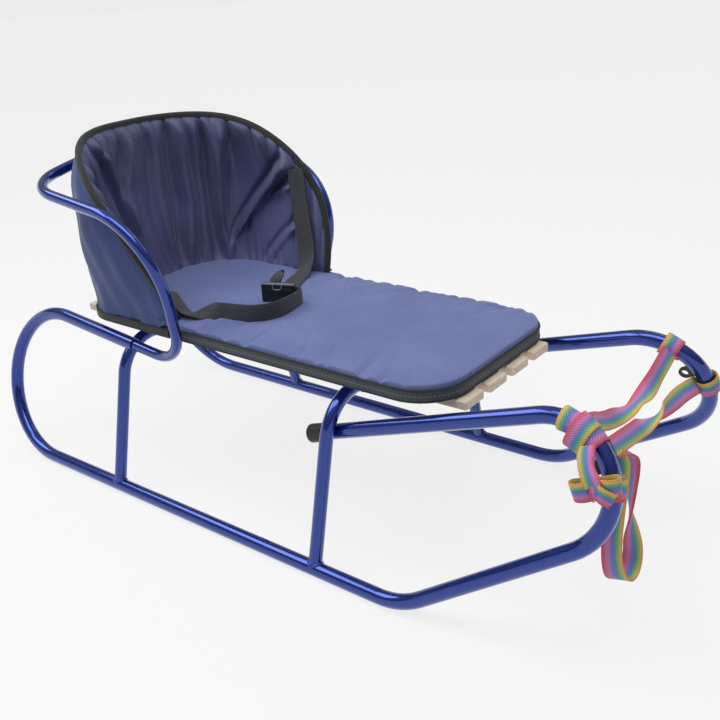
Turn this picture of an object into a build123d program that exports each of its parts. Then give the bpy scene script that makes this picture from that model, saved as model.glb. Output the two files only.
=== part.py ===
from build123d import *
import os
from math import cos, radians, sin, tan

os.makedirs("parts", exist_ok=True)

# Baby sled. Millimetres and degrees: +X to the front, +Y to the left, +Z up,
# origin on the ground under the middle of the sled.

# Overall sizes
sled_length = 940.0  # over the rear and front loops
track = 368.0  # between the middles of the two bottom rails
seat_height = 219.0  # ground to the top of the slats

# Pieces of the rear half are placed from the rear end, those of the front half from the front
# end, and widths from the rails, so that each group keeps together when these three change.

# Runner, one bent tube on each side, leaning inwards
runner_tube = 18.0
runner_lean = 16.2
rear_loop_radius = 104.0
rear_top_drop = 5.0  # fall of the rear top tube towards its open end
socket_from_rear = 270.0  # open end of the rear top tube
socket_depth = 60.0
rail_bend_from_front = 215.0  # where the rail's and the incline's middle lines would meet
rail_bend_radius = 90.0
incline_angle = 34.5
front_loop_radius = 66.0
front_turn = 163.5  # how far the front loop turns the tube back
front_twist = 3.2  # the front loop tips inwards about the incline
front_top_length = 283.0  # from the front loop back to the capped end

# Arches, the two inverted U tubes that carry the slats
arch_tube = 16.0
rear_arch_from_rear = 260.0
front_arch_from_front = 334.0
leg_lean = 14.0
arch_bend_radius = 55.0
weld_gap = 0.1  # room between welded tubes

# Slats
slat_count = 4
slat_gap = 12.5  # between two slats
slat_thickness = 10.0
slat_from_rail = 91.25  # from a rail's middle in to the outer slat's edge
slat_from_rear = 130.0
slat_from_front = 186.0
slat_edge_radius = 2.5
slat_seat_gap = 0.1  # room between a slat and the arch under it

# End caps on the front top tubes
cap_wall = 1.8
cap_length = 21.0
cap_grip = 16.0  # how far the tube goes into the cap
cap_fit = 0.15

# Backrest, one bent tube plugged into the two runner sockets
backrest_tube = 14.0
socket_fit = 0.3  # room around the plugged end
plug_depth = 50.0
plug_lead = 95.0  # from the socket's mouth to the corner of the first bend
side_corner = (390.0, 12.0, 374.0)  # upright to arm: from the rear, in from the rail, height
hoop_corner = (150.0, 20.0, 402.0)  # arm to hoop
hoop_middle = (118.0, 424.0)  # from the rear, height
plug_bend_radius = 55.0
side_bend_radius = 100.0
hoop_corner_radius = 68.0
hoop_radius = 400.0

# Seat pad
pad_from_rail = 56.0  # clear of the backrest's plugged ends
pad_thickness = 24.0
pad_from_rear = 172.0
pad_from_front = 197.0
pad_rear_radius = 65.0
pad_front_radius = 55.0
pad_edge_radius = 8.0
rest_gap = 0.3  # room under a soft piece

# Bucket, the curved wall sewn round the rear half of the pad
wall_from_rear = 405.0  # front edge of the wall on the left
wall_overrun = 50.0  # how far the inner form runs out past the wall's front
rim_radius = 236.0  # seen from the side, the rim is an arc
rim_centre = (138.0, 224.0)  # from the rear, height
rim_skew = 12.0  # the cushion sits askew, with its left side forward
wall_outer = [  # height above the pad, back from the rear, half width over the pad's, share rounded
    (0.3, 164.0, 1.0, 0.48),
    (80.0, 152.0, 23.0, 0.7),
    (150.0, 145.0, 29.0, 0.82),
    (226.0, 137.0, 2.0, 0.9),
]
wall_inner = [
    (0.3, 204.0, -21.0, 0.8),
    (80.0, 182.0, 4.0, 0.76),
    (150.0, 167.0, 10.0, 0.82),
    (226.0, 157.0, -17.0, 0.89),
]

# Harness: two straps that meet in a buckle on the pad
webbing = 2.0  # thickness of every strap
bend_share = 0.45  # part of the shorter run beside a bend that its arc may use
harness_width = 24.0
left_anchor = (324.0, 0.0, 106.7)  # from the rear, out from the pad's left edge, above the pad
left_fold = (368.0, -28.0, 6.2)  # where the left strap turns onto the pad
left_slack = 2.0  # how far the runs bow out of their straight lines
right_route = [  # from the rear, in from the pad's right edge; the strap stands on edge
    (320.0, 23.5),
    (359.0, 24.0),
    (395.0, 41.0),
    (427.0, 41.5),
    (451.0, 48.0),
    (463.5, 66.0),
    (465.5, 92.0),
    (465.0, 116.0),
    (458.3, 126.6),
    (449.9, 123.4),
]

# Buckle
buckle_length = 46.0
buckle_height = 28.0
buckle_thickness = 10.0
buckle_edge = 2.0
buckle_spot = (428.0, 115.0)  # its middle, from the rear and in from the pad's right edge
buckle_turn = 21.0  # direction of the end that the right strap enters, from +X

# Tow eyes, one drilled plate inside each front loop
eye_turn = 88.5  # places on the front loop are counted in degrees from the incline
eye_plate = 3.0
eye_width = 14.0
eye_hole = 8.0
eye_reach = 19.0  # from the tube's middle to the hole

# Pull strap
strap_width = 20.0
wrap_build = 3.0  # thickness of the layers wound round a tube
wrap_fit = 0.3
right_wrap = (99.0, 140.0)
tie_wrap = (58.0, 78.0)  # lower wraps, the same on both sides
left_wrap = (112.0, 131.0)
span_root = 6.0  # the free runs start this far from a tube's middle, under its wrap
upper_span_turn = 121.0
upper_span_sag = [  # share of the way from the middle to a loop, drop below the upper wraps
    (-0.75, 10.0),
    (-0.375, 19.0),
    (0.0, 27.0),
    (0.375, 26.0),
    (0.75, 10.0),
]
lower_span_turn = 103.0
lower_span_sag = [  # share of the way, drop below the right wrap
    (-0.72, 5.0),
    (-0.36, 11.0),
    (0.0, 16.5),
    (0.36, 20.5),
    (0.72, 23.0),
]
hanging_forward = 5.5  # the hanging loop is this far in front of the lower run
hanging_ends = (16.0, 32.0)  # where it meets that run, inwards from the right tube's middle
hanging_gap = 0.7  # room there for the slant of its ends
hanging_route = [  # inwards from the right tube's middle, drop below the right wrap
    (13.0, 31.0),
    (7.5, 60.0),
    (3.5, 90.0),
    (5.0, 120.0),
    (17.0, 148.0),
    (41.0, 168.0),
    (64.0, 165.0),
    (72.0, 143.0),
    (63.0, 117.0),
    (57.0, 89.0),
    (58.5, 60.0),
    (48.0, 31.0),
]

# Bow tied on the outside of the lower right wrap
bow_turn = 68.0
bow_offset = (-14.0, -26.0)  # x and y from the tube's middle to the knot's middle
knot_width = 12.0
knot_depth = 11.0
neck_width = 8.0  # the turns of strap between the knot and the wrap
bow_loop = (24.0, 12.0)  # length and depth of one loop
bow_height = 18.0
bow_sweep = 22.0  # the front loop of the bow turns in towards the tube

rear_end = -sled_length / 2
front_end = sled_length / 2
ground_to_rail = runner_tube / 2
slat_bottom = seat_height - slat_thickness
arch_middle = slat_bottom - slat_seat_gap - arch_tube / 2
pad_bottom = seat_height + rest_gap
pad_top = pad_bottom + pad_thickness
pad_half = track / 2 - pad_from_rail
socket_x = rear_end + socket_from_rear
rail_bend_x = front_end - rail_bend_from_front


def save(part, name):
    part.label = name
    export_step(part, f"parts/{name}.step")


def swept_tube(line, radius):
    """A round bar along a line."""
    with BuildPart() as bar:
        with BuildSketch(Plane(origin=line @ 0, z_dir=line % 0)):
            Circle(radius)
        sweep(path=line)
    return bar.part


def bend_radii(route):
    """The roomiest bend at each inner point of a route."""
    points = [Vector(*point) for point in route]
    radii = []
    for before, here, after in zip(points, points[1:], points[2:]):
        run_in = here - before
        run_out = after - here
        half_turn = radians(run_in.get_angle(run_out)) / 2
        radii.append(bend_share * min(run_in.length, run_out.length) / tan(half_turn))
    return radii


def band(name, plane, route, width, rooms=()):
    """A flat strap along straight runs and arcs in a plane, its width across that plane."""
    radii = bend_radii(route)
    with BuildLine(plane) as line:
        FilletPolyline(*route, radius=radii)
    path = line.wire()
    with BuildPart() as strap:
        with BuildSketch(Plane(origin=path @ 0, x_dir=plane.z_dir, z_dir=path % 0)):
            Rectangle(width, webbing)
        sweep(path=path)
        for room in rooms:
            add(room, mode=Mode.SUBTRACT)
    save(strap.part, name)
    print(name, "bend radii", [round(radius, 1) for radius in radii])


def save_pair(part, name):
    """Save a right-hand piece and its mirror image."""
    save(part, f"{name}_right")
    with BuildPart() as other:
        add(mirror(part, about=Plane.XZ))
    save(other.part, f"{name}_left")


# The right runner's middle line, from the open rear end to the capped front end

runner_plane = Plane(
    origin=(0, -track / 2, ground_to_rail),
    x_dir=(1, 0, 0),
    z_dir=(0, -cos(radians(runner_lean)), sin(radians(runner_lean))),
)
drop = radians(rear_top_drop)
rise = radians(incline_angle)
rear_loop_x = rear_end + runner_tube / 2 + rear_loop_radius
front_loop_x = front_end - runner_tube / 2 - front_loop_radius
front_loop_h = (front_loop_radius + (front_loop_x - rail_bend_x) * sin(rise)) / cos(rise)
loop_top = (rear_loop_x + rear_loop_radius * sin(drop), rear_loop_radius * (1 + cos(drop)))
mouth = (socket_x, loop_top[1] - (socket_x - loop_top[0]) * tan(drop))
bend_start = (rail_bend_x - rail_bend_radius * tan(rise / 2), 0)
incline_end = (
    front_loop_x + front_loop_radius * sin(rise),
    front_loop_h - front_loop_radius * cos(rise),
)

with BuildLine(runner_plane) as rear_line:
    rear_top = Line(mouth, loop_top)
    rear_loop = JernArc(rear_top @ 1, rear_top % 1, rear_loop_radius, 180 + rear_top_drop)
    rail = Line(rear_loop @ 1, bend_start)
    rail_bend = JernArc(rail @ 1, rail % 1, rail_bend_radius, incline_angle)
    incline = Line(rail_bend @ 1, incline_end)

incline_axis = Axis(incline @ 1, incline % 1)
front_plane = Plane(
    origin=incline @ 1,
    x_dir=incline % 1,
    z_dir=runner_plane.z_dir.rotate(incline_axis, -front_twist),
)

with BuildLine(front_plane) as front_line:
    front_loop = JernArc((0, 0), (1, 0), front_loop_radius, front_turn)
    front_top = Line(front_loop @ 1, front_loop @ 1 + (front_loop % 1) * front_top_length)

with BuildLine() as runner_line:
    add(rear_line.line)
    add(front_line.line)

runner_path = runner_line.wire()
socket_mouth = rear_top @ 0
socket_way = (rear_top % 0) * -1  # direction in which the backrest comes out

with BuildPart() as runner_right:
    add(swept_tube(runner_path, runner_tube / 2))
    with BuildSketch(Plane(origin=socket_mouth, z_dir=rear_top % 0)):
        Circle(backrest_tube / 2 + socket_fit)
    extrude(amount=socket_depth, mode=Mode.SUBTRACT)
save_pair(runner_right.part, "runner")

# Room that the arches and tow eyes leave for the runners where they are welded
weld_room_right = swept_tube(runner_path, runner_tube / 2 + weld_gap)
weld_room_left = mirror(weld_room_right, about=Plane.XZ)


# Arches

corner_y = track / 2 - (arch_middle - ground_to_rail) * tan(radians(leg_lean))
arch_corners = [
    (-track / 2, ground_to_rail),
    (-corner_y, arch_middle),
    (corner_y, arch_middle),
    (track / 2, ground_to_rail),
]

arch_places = [
    ("arch_rear", rear_end + rear_arch_from_rear),
    ("arch_front", front_end - front_arch_from_front),
]
for arch_name, arch_x in arch_places:
    with BuildLine(Plane.YZ.offset(arch_x)) as arch_line:
        FilletPolyline(*arch_corners, radius=arch_bend_radius)
    with BuildPart() as arch:
        add(swept_tube(arch_line.wire(), arch_tube / 2))
        add(weld_room_right, mode=Mode.SUBTRACT)
        add(weld_room_left, mode=Mode.SUBTRACT)
    save(arch.part, arch_name)


# Slats, numbered from the right

slat_length = sled_length - slat_from_rear - slat_from_front
slat_middle_x = (slat_from_rear - slat_from_front) / 2
slats_over = track - 2 * slat_from_rail
slat_width = (slats_over - (slat_count - 1) * slat_gap) / slat_count
slat_pitch = slat_width + slat_gap

for number in range(slat_count):
    slat_y = (number - (slat_count - 1) / 2) * slat_pitch
    with BuildPart() as slat:
        with BuildSketch(Plane.XY.offset(slat_bottom)):
            with Locations((slat_middle_x, slat_y)):
                RectangleRounded(slat_length, slat_width, slat_edge_radius)
        extrude(amount=slat_thickness)
        fillet(slat.faces().sort_by(Axis.Z)[-1].edges(), slat_edge_radius)
    save(slat.part, f"slat_{number + 1}")


# End caps

cap_plane = Plane(origin=front_top @ 1, z_dir=front_top % 1)
with BuildPart() as cap_right:
    with BuildSketch(cap_plane.offset(-cap_grip)):
        Circle(runner_tube / 2 + cap_fit + cap_wall)
    extrude(amount=cap_length)
    fillet(cap_right.faces().sort_by(front_top)[-1].edges(), cap_wall)
    with BuildSketch(cap_plane.offset(-cap_grip)):
        Circle(runner_tube / 2 + cap_fit)
    extrude(amount=cap_grip + cap_fit, mode=Mode.SUBTRACT)
save_pair(cap_right.part, "end_cap")


# Backrest


def left_of(point):
    """The same point on the left side."""
    return Vector(point.X, -point.Y, point.Z)


def backrest_corner(from_rear, from_rail, height):
    """A corner on the right side, placed from the sled's rear end and its right rail."""
    return Vector(rear_end + from_rear, from_rail - track / 2, height)


right_half = [
    socket_mouth - socket_way * plug_depth,
    socket_mouth + socket_way * plug_lead,
    backrest_corner(*side_corner),
    backrest_corner(*hoop_corner),
]
left_half = [left_of(point) for point in reversed(right_half)]
half_radii = [plug_bend_radius, side_bend_radius, hoop_corner_radius]

with BuildLine() as backrest_line:
    FilletPolyline(
        *right_half,
        Vector(rear_end + hoop_middle[0], 0, hoop_middle[1]),
        *left_half,
        radius=[*half_radii, hoop_radius, *reversed(half_radii)],
    )
with BuildPart() as backrest:
    add(swept_tube(backrest_line.wire(), backrest_tube / 2))
save(backrest.part, "backrest")


# Seat pad

pad_length = sled_length - pad_from_rear - pad_from_front
with BuildPart() as seat_pad:
    with BuildSketch(Plane.XY.offset(pad_bottom)) as pad_outline:
        with Locations(((pad_from_rear - pad_from_front) / 2, 0)):
            Rectangle(pad_length, 2 * pad_half)
        pad_corners = pad_outline.vertices().group_by(Axis.X)
        fillet(pad_corners[0], pad_rear_radius)
        pad_corners = pad_outline.vertices().group_by(Axis.X)
        fillet(pad_corners[-1], pad_front_radius)
    extrude(amount=pad_thickness)
    pad_ends = seat_pad.faces().sort_by(Axis.Z)
    fillet(pad_ends[0].edges() + pad_ends[-1].edges(), pad_edge_radius)
save(seat_pad.part, "seat_pad")


# Bucket: an outer and an inner lofted form, cut off along the rim's arc


def wall_form(outlines, front_x, mode):
    """Stacked plans of the wall, rounded at the back, joined by straight sides."""
    plans = []
    for height, back, spread, rounded in outlines:
        back_x = rear_end + back
        half_width = pad_half + spread
        with BuildSketch(Plane.XY.offset(pad_top + height)) as plan:
            with Locations(((back_x + front_x) / 2, 0)):
                Rectangle(front_x - back_x, 2 * half_width)
            fillet(plan.vertices().group_by(Axis.X)[0], rounded * half_width)
        plans.append(plan.sketch)
    loft(plans, ruled=True, mode=mode)


wall_front_x = rear_end + wall_from_rear
with BuildPart() as seat_bucket:
    wall_form(wall_outer, wall_front_x, Mode.ADD)
    wall_form(wall_inner, wall_front_x + wall_overrun, Mode.SUBTRACT)
    rim_way = Vector(1, 0, 0).rotate(Axis.Z, -rim_skew)
    rim_plane = Plane(
        origin=(rear_end + rim_centre[0], 0, rim_centre[1]),
        x_dir=rim_way,
        z_dir=rim_way.cross(Vector(0, 0, 1)),
    )
    with BuildSketch(rim_plane):
        Circle(rim_radius)
    extrude(amount=track / 2, both=True, mode=Mode.INTERSECT)
save(seat_bucket.part, "seat_bucket")


# Buckle, standing on edge on the pad

buckle_base = pad_top + rest_gap
buckle_way = Vector(cos(radians(buckle_turn)), sin(radians(buckle_turn)), 0)
buckle_plane = Plane(
    origin=(rear_end + buckle_spot[0], buckle_spot[1] - pad_half, buckle_base),
    x_dir=buckle_way,
    z_dir=(0, 0, 1),
)
with BuildPart() as buckle:
    with BuildSketch(buckle_plane):
        RectangleRounded(buckle_length, buckle_thickness, buckle_edge)
    extrude(amount=buckle_height)
    fillet(buckle.faces().sort_by(Axis.Z)[-1].edges(), buckle_edge / 2)
save(buckle.part, "buckle")


# Harness

right_plane = Plane.XY.offset(pad_top + rest_gap + harness_width / 2)
right_points = [(rear_end + along, across - pad_half) for along, across in right_route]
band("harness_right", right_plane, right_points, harness_width)


def beside_pad(from_rear, outwards, above):
    """A point placed from the rear end, the pad's left edge and its top."""
    return Vector(rear_end + from_rear, pad_half + outwards, pad_top + above)


fold = beside_pad(*left_fold)
buckle_back = buckle_plane.origin + buckle_plane.y_dir * (buckle_thickness / 2 + rest_gap + webbing)
pad_run = Vector(buckle_back.X, buckle_back.Y, fold.Z) - fold
wall_run = beside_pad(*left_anchor) - fold
left_plane = Plane(origin=fold, x_dir=pad_run, z_dir=pad_run.cross(wall_run))
anchor_across, anchor_up, _ = left_plane.to_local_coords(fold + wall_run)
left_route = [
    (anchor_across, anchor_up),
    (anchor_across / 2 + left_slack, anchor_up / 2 + left_slack),
    (0, 0),
    (pad_run.length / 2, left_slack),
    (pad_run.length, 0),
]
band("harness_left", left_plane, left_route, harness_width)


# Tow eyes

loop_centre = front_loop.arc_center


def on_loop(turn):
    """A point of the right front loop's middle line."""
    return front_loop @ (turn / front_turn)


eye_way = (loop_centre - on_loop(eye_turn)).normalized()
eye_plane = Plane(
    origin=on_loop(eye_turn) + eye_way * eye_reach, x_dir=eye_way, z_dir=front_plane.z_dir
)
with BuildPart() as tow_eye:
    with BuildSketch(eye_plane):
        Circle(eye_width / 2)
        with Locations((-eye_reach / 2, 0)):
            Rectangle(eye_reach, eye_width)
        Circle(eye_hole / 2, mode=Mode.SUBTRACT)
    extrude(amount=eye_plate / 2, both=True)
    add(weld_room_right, mode=Mode.SUBTRACT)
save_pair(tow_eye.part, "tow_eye")


# Pull strap: wraps round the front loops

wrap_radius = runner_tube / 2 + wrap_fit + wrap_build
tube_room = swept_tube(front_line.wire(), runner_tube / 2 + wrap_fit)
wrap_room_right = swept_tube(front_line.wire(), wrap_radius + weld_gap)
wrap_rooms = [wrap_room_right, mirror(wrap_room_right, about=Plane.XZ)]


def wrapped(turns):
    """A sleeve of wound strap round the right front loop."""
    with BuildPart() as sleeve:
        add(swept_tube(front_loop.trim(turns[0] / front_turn, turns[1] / front_turn), wrap_radius))
        add(tube_room, mode=Mode.SUBTRACT)
    return sleeve.part


save(wrapped(right_wrap), "strap_wrap_right")
save(mirror(wrapped(left_wrap), about=Plane.XZ), "strap_wrap_left")
save_pair(wrapped(tie_wrap), "strap_tie")


# Pull strap: the free runs between the loops and the hanging loop

upper_end = on_loop(upper_span_turn)
upper_reach = -upper_end.Y - span_root
upper_route = [
    (-upper_reach, upper_end.Z),
    *[(share * upper_reach, upper_end.Z - fall) for share, fall in upper_span_sag],
    (upper_reach, upper_end.Z),
]
band("strap_span_upper", Plane.YZ.offset(upper_end.X), upper_route, strap_width, wrap_rooms)

lower_right = on_loop(lower_span_turn)
lower_left = on_loop(sum(tie_wrap) / 2)
lower_reach = -lower_right.Y - span_root
lower_route = [
    (-lower_reach, lower_right.Z),
    *[(share * lower_reach, lower_right.Z - fall) for share, fall in lower_span_sag],
    (-lower_left.Y - span_root, lower_left.Z),
]
lower_x = (lower_right.X + lower_left.X) / 2
band("strap_span_lower", Plane.YZ.offset(lower_x), lower_route, strap_width, wrap_rooms)


def under_lower_span(inwards):
    """A point just under the first run of the lower span."""
    y = lower_right.Y + inwards
    (start_y, start_z), (end_y, end_z) = lower_route[:2]
    middle_z = start_z + (y - start_y) * (end_z - start_z) / (end_y - start_y)
    return (y, middle_z - webbing / 2 - hanging_gap)


loop_route = [
    under_lower_span(hanging_ends[0]),
    *[(lower_right.Y + inwards, lower_right.Z - fall) for inwards, fall in hanging_route],
    under_lower_span(hanging_ends[1]),
]
hanging_plane = Plane.YZ.offset(lower_x + hanging_forward)
band("strap_hanging_loop", hanging_plane, loop_route, strap_width)


# Bow

to_tie = Vector(*bow_offset) * -1
bow_base = on_loop(bow_turn) - to_tie - Vector(0, 0, bow_height / 2)
bow_plane = Plane(
    origin=bow_base,
    x_dir=(cos(radians(bow_sweep)), sin(radians(bow_sweep)), 0),
    z_dir=(0, 0, 1),
)
bow_loop_x = (knot_width + bow_loop[0]) / 2 - webbing
with BuildPart() as bow:
    with BuildSketch(bow_plane):
        Rectangle(knot_width, knot_depth)
        with Locations((-bow_loop_x, 0), (bow_loop_x, 0)):
            SlotOverall(*bow_loop)
        with Locations((-bow_loop_x, 0), (bow_loop_x, 0)):
            SlotOverall(bow_loop[0] - 2 * webbing, bow_loop[1] - 2 * webbing, mode=Mode.SUBTRACT)
        Rectangle(knot_width, knot_depth)
    extrude(amount=bow_height)
    with BuildSketch(Plane(origin=bow_base, x_dir=to_tie, z_dir=(0, 0, 1))):
        with Locations((to_tie.length / 2, 0)):
            Rectangle(to_tie.length, neck_width)
    extrude(amount=bow_height)
    add(wrap_room_right, mode=Mode.SUBTRACT)
save(bow.part, "strap_bow")
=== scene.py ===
# %% [markdown]
# # A baby sled, dressed in Blender
# The bent tubes, slats and caps come finished from the CAD model. This lesson gives them their
# paint and grain, and models what a CAD solid can't show: the gathered cushion, its binding,
# the webbing harness and the striped pull strap.

# %% Load the frame
import math

import bpy
import numpy as np
from mathutils import Matrix, Quaternion, Vector


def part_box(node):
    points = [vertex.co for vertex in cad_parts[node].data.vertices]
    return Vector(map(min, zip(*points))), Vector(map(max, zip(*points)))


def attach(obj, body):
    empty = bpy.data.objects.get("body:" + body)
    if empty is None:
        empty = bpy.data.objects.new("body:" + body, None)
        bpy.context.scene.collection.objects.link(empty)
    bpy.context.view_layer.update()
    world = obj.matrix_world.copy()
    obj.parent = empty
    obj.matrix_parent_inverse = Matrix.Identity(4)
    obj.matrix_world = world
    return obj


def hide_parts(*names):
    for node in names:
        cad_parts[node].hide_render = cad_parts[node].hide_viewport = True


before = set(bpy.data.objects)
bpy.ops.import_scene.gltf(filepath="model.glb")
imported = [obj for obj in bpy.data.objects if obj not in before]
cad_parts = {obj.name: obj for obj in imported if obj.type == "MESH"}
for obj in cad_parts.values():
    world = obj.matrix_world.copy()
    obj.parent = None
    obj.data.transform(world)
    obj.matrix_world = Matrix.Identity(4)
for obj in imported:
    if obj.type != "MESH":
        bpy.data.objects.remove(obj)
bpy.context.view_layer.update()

# %% [markdown]
# ## Small helpers
# Sizes on this object are a few millimetres, and Blender counts in metres, so one constant turns
# one into the other. Operators act on everything that is selected, so a helper clears the
# selection and makes one object active before any of them runs.

# %% Units, selection and placing
MM = 0.001


def only(obj):
    """Deselect all, then select this object and make it active."""
    if bpy.context.mode != "OBJECT":
        bpy.ops.object.mode_set(mode="OBJECT")
    bpy.ops.object.select_all(action="DESELECT")
    obj.select_set(True)
    bpy.context.view_layer.objects.active = obj


def apply_all(obj):
    """Apply every modifier, then the object's place, turn and size."""
    only(obj)
    for modifier in list(obj.modifiers):
        bpy.ops.object.modifier_apply(modifier=modifier.name)
    bpy.ops.object.transform_apply(location=True, rotation=True, scale=True)


def settle(obj, material, slot, *stands_for):
    """Give a finished piece its material and its body, and hide the CAD nodes that it stands for."""
    obj.data.materials.clear()
    obj.data.materials.append(material)
    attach(obj, "root")
    if stands_for:
        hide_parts(*stands_for)
    print(obj.name, len(obj.data.polygons), "faces")


# %% [markdown]
# ## Camera
# The camera's place and lens were worked out from the photograph's perspective: the slats and
# rails are straight and parallel, so their lines fix where the camera stood. It could be moved by
# eye until the picture fits, but lines that are known to be parallel give it at once. The picture
# is square, and the camera leans a few degrees to one side.

# %% Camera
camera_place = Vector((0.7265, -0.8119, 0.6385))
camera_aim = Vector((-0.0785, 0.1880, 0.0798))
camera_roll = math.radians(-3.6)
lens_mm = 45.5

camera_data = bpy.data.cameras.new("photo_camera")
camera_data.lens = lens_mm
camera_data.sensor_width = 36.0
camera = bpy.data.objects.new("photo_camera", camera_data)
bpy.context.scene.collection.objects.link(camera)
camera.location = camera_place
camera.rotation_mode = "QUATERNION"
straight_on = (camera_aim - camera_place).to_track_quat("-Z", "Y")
camera.rotation_quaternion = straight_on @ Quaternion((0, 0, 1), camera_roll)
bpy.context.scene.camera = camera
bpy.context.scene.view_settings.view_transform = "Standard"
print("camera", camera.location, "lens", lens_mm)


# %% [markdown]
# ## Colours and nodes
# Colours are written as the hex values that a colour picker shows, and one function turns them
# into the linear numbers that the renderer works in. A second one adds a node with its settings
# and links, so each material below reads as a short list.

# %% Colour and node helpers
def linear(hex_colour):
    """An sRGB hex colour as linear RGBA."""
    channels = [int(hex_colour[i : i + 2], 16) / 255 for i in (1, 3, 5)]
    return (*[c / 12.92 if c <= 0.04045 else ((c + 0.055) / 1.055) ** 2.4 for c in channels], 1.0)


def node(tree, kind, settings=None, **links):
    """Add a node with its settings and links.

    A link is named for its socket, or i0, i1 and so on for the socket's number.
    """
    made = tree.nodes.new(kind)
    for name, value in (settings or {}).items():
        if name == "stops":  # (place, colour) pairs of a colour ramp
            elements = made.color_ramp.elements
            while len(elements) < len(value):
                elements.new(0.5)
            for element, (place, colour) in zip(elements, value):
                element.position = place
                element.color = linear(colour)
        else:
            setattr(made, name, value)
    for name, value in links.items():
        by_number = name[0] == "i" and name[1:].isdigit()
        socket = made.inputs[int(name[1:]) if by_number else name.replace("_", " ")]
        if isinstance(value, bpy.types.NodeSocket):
            tree.links.new(value, socket)
        else:
            socket.default_value = value
    return made


def new_material(name, **surface):
    """A material with a Principled surface, and its node tree."""
    material = bpy.data.materials.new(name)
    material.use_nodes = True
    shader = material.node_tree.nodes["Principled BSDF"]
    for socket, value in surface.items():
        shader.inputs[socket.replace("_", " ")].default_value = value
    return material, material.node_tree, shader


# %% [markdown]
# ## Floor
# The floor is white to the eye and in reflections, and still takes the object's soft shadow: part
# of its surface is plain matt paint, part glows for camera, mirror and glass rays. More light on
# the floor would whiten it too, but it would bleach the object, so the paint does it instead.

# %% Floor
floor_size = 60.0
floor_glow = 0.8
bpy.ops.object.select_all(action="DESELECT")
bpy.ops.mesh.primitive_plane_add(size=floor_size, location=(0, 0, 0))
floor = bpy.context.object
floor.name = "floor"
# Matt wall paint: no highlights of its own, only a soft shadow under the runners.
floor_paint, tree, shader = new_material(
    "matt white paint", Base_Color=linear("#e9e9e8"), Roughness=0.9
)
rays = node(tree, "ShaderNodeLightPath").outputs
eye_or_mirror = node(
    tree,
    "ShaderNodeMath",
    {"operation": "ADD"},
    i0=rays["Is Camera Ray"],
    i1=rays["Is Glossy Ray"],
)
any_view = node(
    tree,
    "ShaderNodeMath",
    {"operation": "ADD"},
    i0=eye_or_mirror.outputs[0],
    i1=rays["Is Transmission Ray"],
)
glow_share = node(
    tree, "ShaderNodeMath", {"operation": "MULTIPLY"}, i0=any_view.outputs[0], i1=floor_glow
)
glow = node(tree, "ShaderNodeEmission", Strength=1.0)
both = node(
    tree,
    "ShaderNodeMixShader",
    i0=glow_share.outputs[0],
    i1=shader.outputs[0],
    i2=glow.outputs[0],
)
tree.links.new(both.outputs[0], tree.nodes["Material Output"].inputs["Surface"])
floor.data.materials.append(floor_paint)
print("floor", floor_size, "m")

# %% [markdown]
# ## Backdrop
# From a low side view the eye passes over the floor's far edge. A round wall in the floor's paint
# closes that view. It is a cylinder without ends, so it looks the same from every side.

# %% Backdrop
backdrop_far = 20.0
backdrop_height = 5.7
bpy.ops.object.select_all(action="DESELECT")
bpy.ops.mesh.primitive_cylinder_add(
    vertices=96,
    radius=backdrop_far,
    depth=backdrop_height,
    end_fill_type="NOTHING",
    location=(0, 0, backdrop_height / 2),
)
backdrop = bpy.context.object
backdrop.name = "backdrop"
bpy.ops.object.shade_smooth()
backdrop.data.materials.append(floor_paint)
print("backdrop", backdrop_far, "m away")

# %% [markdown]
# ## Tent and lamps
# The studio is brighter overhead than at the sides, like a tent of white cloth. Two wide lamps,
# one overhead and one behind, draw the broad highlights along the tubes, and a narrow one traces
# their far edges. A polished tube shows the shape of each lamp, so lamps are long and plain.

# %% Tent and lamps
tent_strength = 0.45
world = bpy.data.worlds.new("studio")
bpy.context.scene.world = world
world.use_nodes = True
tree = world.node_tree
sky_way = node(tree, "ShaderNodeTexCoord").outputs["Generated"]
upward = node(tree, "ShaderNodeSeparateXYZ", Vector=sky_way)
tent_stops = [(0.0, "#5d636d"), (0.35, "#a2a9b4"), (0.8, "#ffffff")]
tent = node(tree, "ShaderNodeValToRGB", {"stops": tent_stops}, Fac=upward.outputs["Z"])
tree.links.new(tent.outputs["Color"], tree.nodes["Background"].inputs["Color"])
tree.nodes["Background"].inputs["Strength"].default_value = tent_strength

lamps = [  # name, place, aim, width, length, watts
    ("overhead", (0.15, -0.55, 2.2), (-0.05, 0.0, 0.2), 1.0, 1.7, 17.0),
    ("rear", (-1.35, -0.7, 1.9), (0.0, 0.0, 0.2), 0.9, 1.6, 15.0),
    ("rim", (0.4, 1.8, 2.0), (0.1, 0.0, 0.2), 0.25, 2.0, 4.0),
]
for name, place, aim, width, length, watts in lamps:
    lamp = bpy.data.lights.new(name, "AREA")
    lamp.shape = "RECTANGLE"
    lamp.size = length
    lamp.size_y = width
    lamp.energy = watts
    holder = bpy.data.objects.new(name, lamp)
    holder.location = place
    holder.rotation_mode = "QUATERNION"
    holder.rotation_quaternion = (Vector(aim) - Vector(place)).to_track_quat("-Z", "Y")
    bpy.context.scene.collection.objects.link(holder)
print("lamps", len(lamps))

# %% [markdown]
# ## Blue metallic enamel
# The tubes are steel with a deep blue metallic paint under a clear coat. Metal flake gives the
# colour a sparkle, and the clear coat gives the sharp white highlights along the tubes. A plain
# glossy blue would do from afar, but only a dark metallic base under a coat has both a deep colour
# and tinted highlights. A fine noise in the base's colour stands for the flake.

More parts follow.
